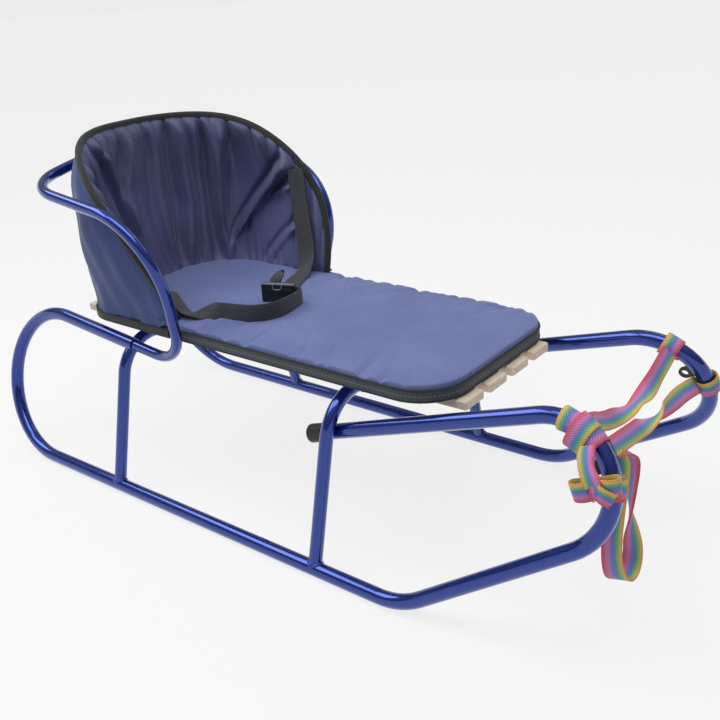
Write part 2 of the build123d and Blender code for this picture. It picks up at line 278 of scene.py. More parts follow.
# %% Blue metallic enamel
flake_mm = 0.9  # real flake is finer; drawn as coarse as it needs to show
enamel, tree, shader = new_material(
    "blue metallic enamel", Metallic=0.8, Roughness=0.2, Coat_Weight=1.0, Coat_Roughness=0.03
)
place = node(tree, "ShaderNodeTexCoord").outputs["Object"]
flake = node(tree, "ShaderNodeTexNoise", Vector=place, Scale=1 / (flake_mm * MM), Detail=2.0)
flake_stops = [(0.3, "#0d2a80"), (0.7, "#183f9f")]
flake_tint = node(tree, "ShaderNodeValToRGB", {"stops": flake_stops}, Fac=flake.outputs["Fac"])
tree.links.new(flake_tint.outputs["Color"], shader.inputs["Base Color"])
print("enamel", enamel.name, "flake", flake_mm, "mm")

# %% [markdown]
# ## Pine slats
# The slats are planed softwood with a thin varnish, which gives a pale, warm and half matt face.
# The growth rings run along the slat. Rings could be drawn as a wave, but planed boards rarely show
# a whole ring, so the grain is a noise stretched along X: hundreds of millimetres long and a few
# millimetres wide.

# %% Varnished pine
grain_length_mm = 240.0
grain_width_mm = 5.0
pore_width_mm = 0.8
pine, tree, shader = new_material("varnished pine", Roughness=0.5, Coat_Weight=0.15)
place = node(tree, "ShaderNodeTexCoord").outputs["Object"]
along_grain = node(
    tree,
    "ShaderNodeMapping",
    Vector=place,
    Scale=(1 / (grain_length_mm * MM), 1 / (grain_width_mm * MM), 1 / (grain_width_mm * MM)),
)
rings = node(tree, "ShaderNodeTexNoise", Vector=along_grain.outputs[0], Scale=1.0, Detail=4.0)
pores = node(
    tree,
    "ShaderNodeMapping",
    Vector=place,
    Scale=(1 / (grain_length_mm * MM), 1 / (pore_width_mm * MM), 1 / (pore_width_mm * MM)),
)
pore_lines = node(tree, "ShaderNodeTexNoise", Vector=pores.outputs[0], Scale=1.0, Detail=2.0)
wood_stops = [(0.32, "#efd3ab"), (0.48, "#fbe8cd"), (0.7, "#fdf1e0")]
wood_tint = node(tree, "ShaderNodeValToRGB", {"stops": wood_stops}, Fac=rings.outputs["Fac"])
tree.links.new(wood_tint.outputs["Color"], shader.inputs["Base Color"])
wood_bump = node(
    tree, "ShaderNodeBump", Height=pore_lines.outputs["Fac"], Strength=0.25, Distance=0.3 * MM
)
tree.links.new(wood_bump.outputs[0], shader.inputs["Normal"])
print("pine grain", grain_width_mm, "mm wide, pores", pore_width_mm, "mm")

# %% [markdown]
# ## Moulded black plastic
# Caps and buckle are injection-moulded. The mould's fine spark-eroded grain keeps them from shining.
# It is far too fine to model, so a noise in the surface's slope does it.

# %% Moulded black ABS
mould_grain_mm = 0.7
abs_black, tree, shader = new_material(
    "moulded black ABS", Base_Color=linear("#17181a"), Roughness=0.42
)
place = node(tree, "ShaderNodeTexCoord").outputs["Object"]
grain = node(tree, "ShaderNodeTexNoise", Vector=place, Scale=1 / (mould_grain_mm * MM))
grain_bump = node(
    tree, "ShaderNodeBump", Height=grain.outputs["Fac"], Strength=0.15, Distance=0.1 * MM
)
tree.links.new(grain_bump.outputs[0], shader.inputs["Normal"])
print("ABS grain", mould_grain_mm, "mm")

# %% [markdown]
# ## Paint the CAD nodes
# A CAD node whose shape is right stays as it is and only gets a better material. Its facets are
# smoothed by angle, so round tubes look round and the slats keep their edges.

# %% Materials on the CAD nodes
sharp_from = math.radians(35)
finishes = [  # start of the node's name, material
    ("runner", enamel),
    ("arch", enamel),
    ("backrest", enamel),
    ("tow_eye", abs_black),
    ("slat", pine),
    ("end_cap", abs_black),
]
for start, material in finishes:
    for name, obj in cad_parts.items():
        if name.startswith(start):
            obj.data.materials.clear()
            obj.data.materials.append(material)
            only(obj)
            bpy.ops.object.shade_smooth_by_angle(angle=sharp_from)
print("painted", sum(name.startswith(tuple(f[0] for f in finishes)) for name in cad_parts))

# %% [markdown]
# ## Webbing
# Straps are flat woven tape. Their patterns follow the strap, so the materials read the piece's
# own UV map: U runs across the strap from edge to edge, V along it in metres. The ribs could be
# modelled, but there are thousands of them, so a slanting wave gives their shade and their bump.
# On the pull strap, stripes of dyed yarn run along it, soft and matt.

# %% Striped polyester webbing
rib_mm = 1.6  # real ribs are under a millimetre; drawn as coarse as they need to show
strap_width = 20 * MM
striped, tree, shader = new_material(
    "striped polyester webbing", Roughness=0.75, Sheen_Weight=0.2
)
uv = node(tree, "ShaderNodeUVMap", {"uv_map": "strap"}).outputs[0]
split = node(tree, "ShaderNodeSeparateXYZ", Vector=uv)
stripe_stops = [
    (0.0, "#e8526b"),
    (0.14, "#ec7396"),
    (0.32, "#df94d0"),
    (0.44, "#a287d8"),
    (0.55, "#6f90d6"),
    (0.66, "#5bb3a4"),
    (0.78, "#a5cd80"),
    (0.88, "#f6d672"),
    (1.0, "#f5ac5d"),
]
stripes = node(tree, "ShaderNodeValToRGB", {"stops": stripe_stops}, Fac=split.outputs["X"])
ribs_at = node(tree, "ShaderNodeMapping", Vector=uv, Scale=(strap_width, 1.0, 1.0))
ribs = node(
    tree,
    "ShaderNodeTexWave",
    {"bands_direction": "DIAGONAL"},
    Vector=ribs_at.outputs[0],
    Scale=math.pi / (10 * rib_mm * MM),
    Distortion=0.6,
    Detail=1.0,
)
rib_stops = [(0.0, "#c0bcc9"), (0.55, "#ffffff")]
rib_shade = node(tree, "ShaderNodeValToRGB", {"stops": rib_stops}, Fac=ribs.outputs["Fac"])
woven = node(
    tree,
    "ShaderNodeMix",
    {"data_type": "RGBA", "blend_type": "MULTIPLY"},
    Factor=0.7,
    i6=stripes.outputs["Color"],
    i7=rib_shade.outputs["Color"],
)
tree.links.new(woven.outputs[2], shader.inputs["Base Color"])
rib_bump = node(
    tree, "ShaderNodeBump", Height=ribs.outputs["Fac"], Strength=0.3, Distance=0.4 * MM
)
tree.links.new(rib_bump.outputs[0], shader.inputs["Normal"])
print("striped webbing, ribs every", rib_mm, "mm")

# %% [markdown]
# The harness is a stiffer tape of black polypropylene. Its yarn is coarse and a little waxy, so it
# shows as dark grey ribs with a weak shine. It is the same weave with other colours.

# %% Black polypropylene webbing
black_webbing, tree, shader = new_material(
    "black polypropylene webbing", Roughness=0.6, Sheen_Weight=0.3
)
harness_width = 24 * MM
uv = node(tree, "ShaderNodeUVMap", {"uv_map": "strap"}).outputs[0]
ribs_at = node(tree, "ShaderNodeMapping", Vector=uv, Scale=(harness_width, 1.0, 1.0))
ribs = node(
    tree,
    "ShaderNodeTexWave",
    {"bands_direction": "DIAGONAL"},
    Vector=ribs_at.outputs[0],
    Scale=math.pi / (10 * rib_mm * MM),
    Distortion=0.4,
)
rib_stops = [(0.1, "#1d1f21"), (0.8, "#3a3e42")]
rib_tint = node(tree, "ShaderNodeValToRGB", {"stops": rib_stops}, Fac=ribs.outputs["Fac"])
tree.links.new(rib_tint.outputs["Color"], shader.inputs["Base Color"])
rib_bump = node(
    tree, "ShaderNodeBump", Height=ribs.outputs["Fac"], Strength=0.7, Distance=0.5 * MM
)
tree.links.new(rib_bump.outputs[0], shader.inputs["Normal"])
print("black webbing", harness_width, "m wide")

# %% [markdown]
# ## A ribbon along a route
# A strap's route is a smooth NURBS curve through the same points that the CAD bands use. Blender
# turns that curve into a line of points, and a flat section with rounded edges is drawn along
# them. A curve with a bevel would be quicker, but a real strap also turns about its own length, and
# a bevel can't be told where. So each route carries the direction of the strap's width at a few
# places on the way, and the faces are laid from point to point.


# %% Route and ribbon
def route_points(route, resolution=10):
    """Points along a NURBS curve with these control points, in metres."""
    curve = bpy.data.curves.new("route", "CURVE")
    curve.dimensions = "3D"
    curve.resolution_u = resolution
    spline = curve.splines.new("NURBS")
    spline.points.add(len(route) - 1)
    for point, place in zip(spline.points, route):
        point.co = (*place, 1.0)
    spline.order_u = 3
    spline.use_endpoint_u = True
    holder = bpy.data.objects.new("route", curve)
    bpy.context.scene.collection.objects.link(holder)
    bpy.context.view_layer.update()
    line = bpy.data.meshes.new_from_object(holder)
    points = [vertex.co.copy() for vertex in line.vertices]
    bpy.data.objects.remove(holder)
    bpy.data.curves.remove(curve)
    bpy.data.meshes.remove(line)
    return points


def length_of(points):
    """Length of a line of points."""
    return sum((b - a).length for a, b in zip(points, points[1:]))


def tangents_of(points):
    """Unit direction at each point of a line."""
    ends = [points[0], *points, points[-1]]
    return [(c - a).normalized() for a, c in zip(ends, ends[2:])]


flat_steps = [-0.5, -0.46, -0.3, -0.1, 0.1, 0.3, 0.46, 0.5]
flat_section = [(a, 0.5 if abs(a) < 0.5 else 0.2) for a in flat_steps]
flat_section += [(a, -b) for a, b in reversed(flat_section)]
round_turns = [math.radians(i * 30) for i in range(12)]
round_section = [(0.5 * math.cos(turn), 0.5 * math.sin(turn)) for turn in round_turns]


def ribbon(name, points, across, width, thickness, section=flat_section, notch=0.0):
    """A strap along points; across holds the direction of its width at each point."""
    tangents = tangents_of(points)
    vertices = []
    uvs = []
    travelled = 0.0
    for i, (point, tangent) in enumerate(zip(points, tangents)):
        side = (across[i] - tangent * across[i].dot(tangent)).normalized()
        up = tangent.cross(side)
        travelled += (point - points[i - 1]).length if i else 0.0
        cut = notch if i == len(points) - 1 else 0.0
        for a, b in section:
            back = tangent * (cut * (1 - 2 * abs(a)))
            vertices.append(point + side * (a * width) + up * (b * thickness) - back)
            uvs.append((a + 0.5, travelled))
    count = len(section)
    faces = []
    for i in range(len(points) - 1):
        for j in range(count):
            k = (j + 1) % count
            faces.append((i * count + j, i * count + k, (i + 1) * count + k, (i + 1) * count + j))
    faces.append(tuple(range(count - 1, -1, -1)))
    faces.append(tuple(range((len(points) - 1) * count, len(points) * count)))
    mesh = bpy.data.meshes.new(name)
    mesh.from_pydata(vertices, [], faces)
    layer = mesh.uv_layers.new(name="strap")
    for loop in mesh.loops:
        layer.data[loop.index].uv = uvs[loop.vertex_index]
    obj = bpy.data.objects.new(name, mesh)
    bpy.context.scene.collection.objects.link(obj)
    only(obj)
    bpy.ops.object.mode_set(mode="EDIT")
    bpy.ops.mesh.select_all(action="SELECT")
    bpy.ops.mesh.normals_make_consistent(inside=False)
    bpy.ops.object.mode_set(mode="OBJECT")
    bpy.ops.object.shade_smooth_by_angle(angle=math.radians(50))
    return obj


def facing(points, stops):
    """Width directions at the points, blended between (share of the length, direction) stops."""
    total = length_of(points)
    travelled = np.cumsum([0.0] + [(b - a).length for a, b in zip(points, points[1:])]) / total
    shares = [share for share, _ in stops]
    columns = [np.interp(travelled, shares, [way[i] for _, way in stops]) for i in range(3)]
    return [Vector(way) for way in zip(*columns)]


def joined(name, pieces):
    """Join pieces into one object."""
    only(pieces[0])
    for piece in pieces:
        piece.select_set(True)
    if len(pieces) > 1:
        bpy.ops.object.join()
    pieces[0].name = name
    return pieces[0]


# %% [markdown]
# ## The pull strap's free runs
# One striped strap is wound round both front loops, crosses between them twice and hangs down in
# a long loop. Held at its ends, each run sags, and it turns over where it leaves a wrap. A cloth
# simulation would hang it some other way each time, so the routes are given point by point.

# %% Free runs and hanging loop
webbing = 2 * MM
upper_route = [
    (428.5, -110.0, 242.5),
    (426.5, -92.0, 236.0),
    (423.5, -70.0, 224.3),
    (422.5, -40.0, 215.3),
    (422.5, 0.0, 207.3),
    (422.5, 40.0, 208.3),
    (422.5, 80.0, 224.3),
    (422.5, 106.7, 234.3),
]
lower_route = [
    (449.6, -110.9, 223.7),
    (449.6, -79.9, 218.7),
    (449.6, -39.9, 212.7),
    (449.6, 0.0, 207.2),
    (449.6, 39.9, 203.2),
    (449.6, 79.9, 200.7),
    (449.6, 122.6, 191.3),
]
hanging_route = [
    (450.1, -107.0, 212.4),
    (454.1, -102.5, 206.0),
    (455.1, -103.9, 192.7),
    (455.1, -109.4, 163.7),
    (455.1, -113.4, 133.7),
    (455.1, -111.9, 103.7),
    (455.1, -99.9, 75.7),
    (455.1, -75.9, 55.7),
    (455.1, -56.9, 58.7),
    (455.1, -53.9, 80.7),
    (455.1, -64.9, 106.7),
    (455.1, -71.9, 134.7),
    (455.1, -70.4, 163.7),
    (455.1, -71.9, 190.7),
    (454.1, -79.9, 204.8),
    (450.1, -94.0, 213.5),
    (447.1, -108.0, 218.0),
]
flat_to_eye = (0.57, 0.0, -0.82)  # width of a level run that shows its face to the camera
edge_to_eye = (0.9, 0.0, 0.35)  # of a run that shows its edge
over_to_eye = (-0.57, 0.0, 0.82)  # the same strap turned over
leg_way = (0.78, 0.63, 0.0)  # width of the hanging loop's nearer leg
runs = [  # piece, route, directions of its width on the way
    (
        "strap_span_upper",
        upper_route,
        [
            (0, flat_to_eye),
            (0.3, flat_to_eye),
            (0.55, edge_to_eye),
            (0.8, flat_to_eye),
            (1, flat_to_eye),
        ],
    ),
    (
        "strap_span_lower",
        lower_route,
        [
            (0, flat_to_eye),
            (0.25, flat_to_eye),
            (0.42, edge_to_eye),
            (0.55, (-0.1, 0, 1)),
            (0.7, over_to_eye),
            (1, over_to_eye),
        ],
    ),
    (
        "strap_hanging_loop",
        hanging_route,
        [
            (0, leg_way),
            (0.35, leg_way),
            (0.5, (1, 0.1, 0)),
            (0.62, (0.5, 0.85, 0)),
            (0.75, (-0.6, 0.8, 0)),
            (0.9, (-0.95, 0.3, 0)),
            (1, (-0.9, 0, 0.4)),
        ],
    ),
]
for name, route, stops in runs:
    points = route_points([Vector(p) * MM for p in route])
    strap = ribbon(f"{name}_webbing", points, facing(points, stops), strap_width, webbing)
    settle(strap, striped, "striped_webbing", name)

# %% [markdown]
# ## Wraps and bow of the pull strap
# Where the strap is wound on a loop's tube it is a helix: the middle of the strap goes round the
# tube while it moves along it. Each turn lies half on the turn before, so the strap leans, with
# one edge on the tube and the other edge up on its neighbour. A screw modifier winds on a straight
# axis, and the tube is bent here, so the turns are worked out on the loop's own arc.

# %% Wraps on the front loops
loop_middle = Vector((395.1, -131.3, 177.2)) * MM
loop_radius = 66 * MM
loop_start = Vector((0.565, -0.283, -0.774)).normalized()
loop_tangent = Vector((0.8241, 0.158, 0.5439)).normalized()
loop_normal = loop_start.cross(loop_tangent)
tube_radius = 9 * MM
wrap_middle = tube_radius + 1.9 * MM
lean = math.radians(6)
slack_angle = math.radians(195)  # round the tube from its outer side: below it, to the right
steps_per_turn = 48


def on_loop(degrees, left):
    """A point of a front loop's centre line with its tangent, outward and sideways directions."""
    turn = math.radians(degrees)
    outward = loop_start * math.cos(turn) + loop_tangent * math.sin(turn)
    tangent = loop_tangent * math.cos(turn) - loop_start * math.sin(turn)
    ways = [loop_middle + outward * loop_radius, tangent, outward, loop_normal]
    return [Vector((w.x, -w.y, w.z)) for w in ways] if left else ways


def wrap(name, first, last, start_angle, turns, left, lift=0.0, over=False, slack=0.0):
    """A strap wound on a front loop between two places, from an angle round the tube.

    Slack is how far it sags below the tube.
    """
    steps = int(steps_per_turn * turns)
    points = []
    across = []
    for i in range(steps + 1):
        place, tangent, outward, sideways = on_loop(first + (last - first) * i / steps, left)
        angle = math.radians(start_angle + 360 * turns * i / steps)
        out = outward * math.cos(angle) + sideways * math.sin(angle)
        sag = slack * max(0.0, math.cos(angle - slack_angle)) ** 2
        points.append(place + out * (wrap_middle + lift + sag))
        way = tangent * math.cos(lean) + out * math.sin(lean)
        across.append(-way if over else way)
    return ribbon(name, points, across, strap_width, webbing)


# CAD node, first and last place of the strap's middle, start angle, turns, left, lift, turned
# over, slack
wraps = [
    ("strap_wrap_right", 135.0, 132.0, 200, 1.3, False, 0.0, False),
    ("strap_wrap_right", 113.0, 111.0, 20, 1.2, False, 0.0, False),
    ("strap_wrap_right", 121.0, 118.0, 0, 0.92, False, 2.8 * MM, True, 9 * MM),
    ("strap_wrap_left", 124.0, 119.0, 200, 1.2, True, 0.0, False),
    ("strap_tie_right", 66.0, 70.0, 200, 1.3, False, 0.0, False),
    ("strap_tie_left", 66.0, 70.0, 20, 1.3, True, 0.0, False),
]
for name in dict.fromkeys(row[0] for row in wraps):
    layers = [wrap(f"{name}_webbing", *row[1:]) for row in wraps if row[0] == name]
    settle(joined(f"{name}_webbing", layers), striped, "striped_webbing", name)

# %% [markdown]
# The strap's end is tied in a small bow: two loops, a knot round their middle and a short tail cut
# to a V. The loops could be bent from flat strips, but a drop-shaped curve is easier to hold to, and
# a ribbon along it stays as stiff as webbing does.

# %% Bow on the right loop
bow_low, bow_high = [Vector(corner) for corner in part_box("strap_bow")]
bow_middle = (bow_low + bow_high) / 2 + Vector((7, 2, 10)) * MM  # where the soft knot hangs
bow_axis = Vector((0.90, 0.35, 0.22)).normalized()
bow_front = Vector((0.36, -0.93, 0.0))
bow_front = (bow_front - bow_axis * bow_front.dot(bow_axis)).normalized()
bow_up = bow_front.cross(bow_axis).normalized()
bow_up = bow_up if bow_up.z > 0 else -bow_up
bow_strap = 20 * MM


def by_bow(axis, front, up):
    """A place given along the bow, out of its front and up from its middle, in millimetres."""
    return bow_middle + bow_axis * (axis * MM) + bow_front * (front * MM) + bow_up * (up * MM)


drop = [(1, 1.5, 0), (9, 7, 1), (19, 6.5, 1), (22, 0, 0), (19, -6, -1), (9, -6, -1), (1, -1.5, 0)]
bow_pieces = []
for sign in (-1, 1):
    points = route_points([by_bow(sign * along, front, up) for along, front, up in drop], 6)
    tilt = bow_up + bow_axis * (0.1 * sign)
    bow_pieces.append(ribbon("bow_loop", points, [tilt] * len(points), bow_strap, webbing))
tails = [  # route, direction of its width, width, notch at its end
    ([(0, 6, 1), (4, 9.5, -2), (9, 10, -6), (14, 9, -10)], bow_up + bow_axis * 0.3, 16 * MM, 6 * MM),
    ([(-2, -3, 2), (-6, -6, -4), (-9, -6, -10), (-11, -5, -15)], bow_axis, 12 * MM, 5 * MM),
]
for route, way, width, notch in tails:
    points = route_points([by_bow(*place) for place in route], 6)
    bow_pieces.append(ribbon("bow_tail", points, [way] * len(points), width, webbing, notch=notch))
knot_turns = [math.radians(15 * i) for i in range(25)]
knot = [by_bow(0, 7 * math.cos(turn), 10.5 * math.sin(turn)) for turn in knot_turns]
bow_pieces.append(ribbon("bow_knot", knot, [bow_axis] * len(knot), 11 * MM, webbing * 1.4))
lead_route = [  # from the wrap down to the knot
    Vector((433, -128, 228)) * MM,
    Vector((436, -141, 223)) * MM,
    by_bow(-4, 4, 16),
    by_bow(-1, 6, 6),
]
points = route_points(lead_route, 8)
lead_ways = [(0, (-0.9, -0.1, -0.4)), (0.5, (-0.6, -0.7, 0.2)), (1, -bow_axis)]
bow_pieces.append(ribbon("bow_lead", points, facing(points, lead_ways), 16 * MM, webbing))
bow = joined("strap_bow_webbing", bow_pieces)
settle(bow, striped, "striped_webbing", "strap_bow")

# %% [markdown]
# ## Harness and buckle
# The near half of the harness comes forward from behind the tube, turns onto its edge and bends
# round into the buckle. The far half lies on the bucket's wall and folds over at the seat. Both are
# ribbons like the pull strap, because a stiff tape keeps its width and only twists and bends.

# %% Harness straps
right_route = [
    (-158.0, -94.0, 267.0),
    (-142.0, -99.0, 261.0),
    (-126.0, -105.0, 253.0),
    (-110.0, -108.0, 248.0),
    (-92.0, -96.0, 250.5),
    (-64.0, -91.0, 255.0),
    (-43.0, -89.0, 255.6),
    (-19.0, -80.0, 255.6),
    (-6.5, -62.0, 255.6),
    (-5.5, -36.0, 255.6),
    (-9.0, -13.0, 255.6),
    (-11.7, -1.4, 255.6),
    (-20.1, -4.6, 255.6),
]
left_route = [
    (-131.0, 135.0, 381.0),
    (-122.5, 127.0, 345.0),
    (-109.0, 117.0, 305.0),
    (-95.0, 106.0, 268.0),
    (-87.0, 88.0, 249.5),
    (-73.7, 46.7, 249.4),
    (-44.6, -6.2, 249.5),
]
on_edge = (0.0, 0.0, 1.0)
leaning = (-0.2, 0.88, -0.3)  # one edge up on the wall, the other on the pad
on_pad = (0.9, -0.4, 0.0)
halves = [  # CAD node, route, directions of its width on the way
    (
        "harness_right",
        right_route,
        [(0, leaning), (0.22, leaning), (0.32, (0, 0.75, 0.45)), (0.42, on_edge), (1, on_edge)],
    ),
    (
        "harness_left",
        left_route,
        [(0, (0.85, 0.3, 0.35)), (0.5, (0.9, 0.3, 0.2)), (0.62, on_pad), (1, on_pad)],
    ),
]
for name, route, stops in halves:
    points = route_points([Vector(p) * MM for p in route])
    strap = ribbon(f"{name}_webbing", points, facing(points, stops), harness_width, webbing)
    settle(strap, black_webbing, "black_webbing", name)

# %% [markdown]
# ## Buckle
# The buckle is a flat box of moulded plastic that stands on its edge on the pad. A cube is given
# its size, its edges are rounded by a bevel, and both broad faces get a frame by two insets. A
# bevel modifier would round it as well, but the operator leaves the faces at hand for the insets.

# %% Side-release buckle
broad_face = 1e-4  # square metres, more than any face of the bevel has
buckle_low, buckle_high = [Vector(corner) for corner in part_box("buckle")]
buckle_middle = (buckle_low + buckle_high) / 2
buckle_size = Vector((46, 10, 28)) * MM
bpy.ops.object.select_all(action="DESELECT")
bpy.ops.mesh.primitive_cube_add(size=1, location=(0, 0, 0))
buckle = bpy.context.object
buckle.name = "buckle_body"
buckle.scale = buckle_size
bpy.ops.object.transform_apply(scale=True)
bpy.ops.object.mode_set(mode="EDIT")
bpy.ops.mesh.select_all(action="SELECT")
bpy.ops.mesh.bevel(offset=2.2 * MM, segments=4)
bpy.ops.object.mode_set(mode="OBJECT")
face_sides = [
    p.index for p in buckle.data.polygons if abs(p.normal.y) > 0.99 and p.area > broad_face
]
bpy.ops.object.mode_set(mode="EDIT")
bpy.ops.mesh.select_mode(type="FACE")
bpy.ops.mesh.select_all(action="DESELECT")
bpy.ops.object.mode_set(mode="OBJECT")
for index in face_sides:
    buckle.data.polygons[index].select = True
bpy.ops.object.mode_set(mode="EDIT")
bpy.ops.mesh.inset(thickness=2.6 * MM, depth=-1.2 * MM, use_individual=True)
bpy.ops.mesh.inset(thickness=2.4 * MM, depth=0.9 * MM, use_individual=True)
bpy.ops.object.mode_set(mode="OBJECT")
buckle_turn = Matrix.Translation(buckle_middle) @ Matrix.Rotation(math.radians(21), 4, "Z")
buckle.matrix_world = buckle_turn
apply_all(buckle)
bpy.ops.object.shade_smooth_by_angle(angle=math.radians(40))
settle(buckle, abs_black, "black_plastic", "buckle")

# %% [markdown]
# A rounded bar and a small ring sit on the buckle's upper edge. They are moulded black plastic,
# and their grey colour is a painted highlight. The plastic is smooth enough for a thin line of
# light, with faint clouds where it flowed. A ribbon with a round section makes both.

# %% Bar and ring on the buckle's upper edge
flow_mm = 4.0
bar_grey_painted_highlight, tree, shader = new_material("black plastic, painted grey highlight", Roughness=0.3, Coat_Weight=0.3)
place = node(tree, "ShaderNodeTexCoord").outputs["Object"]
flow = node(tree, "ShaderNodeTexNoise", Vector=place, Scale=1 / (flow_mm * MM), Detail=3.0)
# Painted highlight: these greys stand in for light on the black plastic, varied at random by the flow
# noise.
flow_and_highlight_stops = [(0.3, "#5d636b"), (0.7, "#767d86")]
flow_and_highlight_tint = node(tree, "ShaderNodeValToRGB", {"stops": flow_and_highlight_stops}, Fac=flow.outputs["Fac"])
tree.links.new(flow_and_highlight_tint.outputs["Color"], shader.inputs["Base Color"])
bar_length = 44 * MM
bar_steps = 9
bar_line = [
    buckle_turn @ Vector((x * bar_length, -1.5 * MM, 13.2 * MM))
    for x in np.linspace(-0.5, 0.5, bar_steps)
]
bar_ways = [Vector((0, 0, 1))] * bar_steps
bar_parts = [ribbon("buckle_bar", bar_line, bar_ways, 3.4 * MM, 6 * MM, round_section)]
ring = [  # along the bar, across it and up, from the buckle's middle
    (-6, -5.2, 13.4),
    (-6, -6.6, 10),
    (-5, -6.8, 7.4),
    (0, -6.9, 6.8),
    (5, -6.8, 7.4),
    (6, -6.6, 10),
    (6, -5.2, 13.4),
]
ring_line = route_points([buckle_turn @ (Vector(spot) * MM) for spot in ring], 6)
ring_ways = [buckle_turn.to_3x3() @ Vector((0, 1, 0))] * len(ring_line)
bar_parts.append(ribbon("buckle_ring", ring_line, ring_ways, 1.8 * MM, 1.8 * MM, round_section))
settle(joined("buckle_bar", bar_parts), bar_grey_painted_highlight, "black_plastic")

# %% [markdown]
# The far strap's end comes out behind the buckle and stands up. It is one more short ribbon, cut
# to a point so that it threads easily.

# %% Loose end of the far strap behind the buckle
tail_route = [(-6, 6.5, 6), (-8, 9, 12), (-7, 13, 17), (-4, 18, 20)]
points = route_points([buckle_turn @ (Vector(spot) * MM) for spot in tail_route], 6)
tail_ways = [buckle_turn.to_3x3() @ Vector((1, 0.2, 0.2))] * len(points)
loose_end = ribbon("harness_loose_end", points, tail_ways, 15 * MM, webbing, notch=-9 * MM)
settle(loose_end, black_webbing, "black_webbing")

# %% [markdown]
# ## Navy twill
# The cushion is covered in a coated polyester twill: a fine diagonal rib, a slight sheen where
# the cloth turns away from the eye, and a faint cloudiness where it is creased. It is one cloth in
# three colours: the seat's twill is painted lighter, as painted light from above, and the back's and
# the lining's are painted darker, as painted shade. The lining is also smoother than the outside.
# The ribs are far too fine to model, so a slanting wave on Object coordinates draws them.

# %% Twill
cloud_mm = 71.43
twill_mm = 2.6  # real ribs are half a millimetre; drawn as coarse as they need to show


def twill(name, dark, light, roughness=0.7):
    """A ribbed cloth between two shades."""
    material, tree, shader = new_material(
        name, Roughness=roughness, Sheen_Weight=0.25, Sheen_Roughness=0.4
    )
    place = node(tree, "ShaderNodeTexCoord").outputs["Object"]
    clouds = node(
        tree, "ShaderNodeTexNoise", Vector=place, Scale=1 / (cloud_mm * MM), Detail=5.0
    )
    tint_stops = [(0.3, dark), (0.7, light)]
    tint = node(tree, "ShaderNodeValToRGB", {"stops": tint_stops}, Fac=clouds.outputs["Fac"])
    ribs = node(
        tree,
        "ShaderNodeTexWave",
        {"bands_direction": "DIAGONAL"},
        Vector=place,
        Scale=math.pi / (10 * twill_mm * MM),
        Distortion=0.3,
    )
    rib_stops = [(0.0, "#d8d8d8"), (0.7, "#ffffff")]
    rib_shade = node(tree, "ShaderNodeValToRGB", {"stops": rib_stops}, Fac=ribs.outputs["Fac"])
    cloth = node(
        tree,
        "ShaderNodeMix",
        {"data_type": "RGBA", "blend_type": "MULTIPLY"},
        Factor=0.7,
        i6=tint.outputs["Color"],
        i7=rib_shade.outputs["Color"],
    )
    tree.links.new(cloth.outputs[2], shader.inputs["Base Color"])
    bump = node(
        tree, "ShaderNodeBump", Height=ribs.outputs["Fac"], Strength=0.3, Distance=0.3 * MM
    )
    tree.links.new(bump.outputs[0], shader.inputs["Normal"])
    return material


# Painted light and shade: one cloth, its seat painted lighter as lit from above, its back and lining
# painted darker as shaded.
seat_twill_painted_lighter = twill("navy twill, seat, painted lighter as lit", "#6b78b0", "#7986bc")
back_twill_painted_darker = twill("navy twill, back, painted darker as shaded", "#384a83", "#445793")
lining_twill_painted_darker = twill("navy twill, lining, painted darker as shaded", "#4a4e75", "#60648f", roughness=0.55)
print("twills", seat_twill_painted_lighter.name, back_twill_painted_darker.name, lining_twill_painted_darker.name)

# %% [markdown]
# ## Binding tape
# The cushion's edges are bound with a woven polyester tape that is sewn on with a row of stitches.
# It is matt, with fine ribs across it and a thread that catches a little light. The stitches could
# be modelled one by one, but the tape's own UV map places them along its middle for free.

# %% Binding tape
stitch_mm = 5.0
stitch_share = 0.65  # of the pitch that is thread, the rest is a hole
tape_rib_mm = 1.6  # real ribs are half a millimetre; drawn as coarse as they need to show


def binding(name, dark, light, thread):
    """A ribbed tape between two shades, with a row of stitches along its middle."""
    material, tree, shader = new_material(name, Roughness=0.75, Sheen_Weight=0.2)
    uv = node(tree, "ShaderNodeUVMap", {"uv_map": "strap"}).outputs[0]
    split = node(tree, "ShaderNodeSeparateXYZ", Vector=uv)
    across, along = split.outputs["X"], split.outputs["Y"]
    math_node = "ShaderNodeMath"
    ribs_along = node(tree, math_node, {"operation": "DIVIDE"}, i0=along, i1=tape_rib_mm * MM)
    ribs = node(tree, math_node, {"operation": "PINGPONG"}, i0=ribs_along.outputs[0], i1=0.5)
    weave_stops = [(0.05, dark), (0.4, light)]
    weave = node(tree, "ShaderNodeValToRGB", {"stops": weave_stops}, Fac=ribs.outputs[0])
    stitches_along = node(tree, math_node, {"operation": "DIVIDE"}, i0=along, i1=stitch_mm * MM)
    stitch = node(tree, math_node, {"operation": "FRACT"}, i0=stitches_along.outputs[0])
    sewn = node(tree, math_node, {"operation": "LESS_THAN"}, i0=stitch.outputs[0], i1=stitch_share)
    on_line = node(tree, math_node, {"operation": "COMPARE"}, i0=across, i1=0.5, i2=0.05)
    seam = node(
        tree, math_node, {"operation": "MULTIPLY"}, i0=sewn.outputs[0], i1=on_line.outputs[0]
    )
    colour = node(
        tree,
        "ShaderNodeMix",
        {"data_type": "RGBA"},
        i0=seam.outputs[0],
        i6=weave.outputs["Color"],
        i7=linear(thread),
    )
    tree.links.new(colour.outputs[2], shader.inputs["Base Color"])
    relief = node(tree, math_node, {"operation": "ADD"}, i0=ribs.outputs[0], i1=seam.outputs[0])
    bump = node(
        tree, "ShaderNodeBump", Height=relief.outputs[0], Strength=0.5, Distance=0.4 * MM
    )
    tree.links.new(bump.outputs[0], shader.inputs["Normal"])
    return material


tape = binding("black polyester binding tape", "#131517", "#212427", "#33373b")
grey_tape = binding("grey polyester binding tape", "#363c40", "#4a5256", "#6b7377")
print("tapes", tape.name, grey_tape.name)
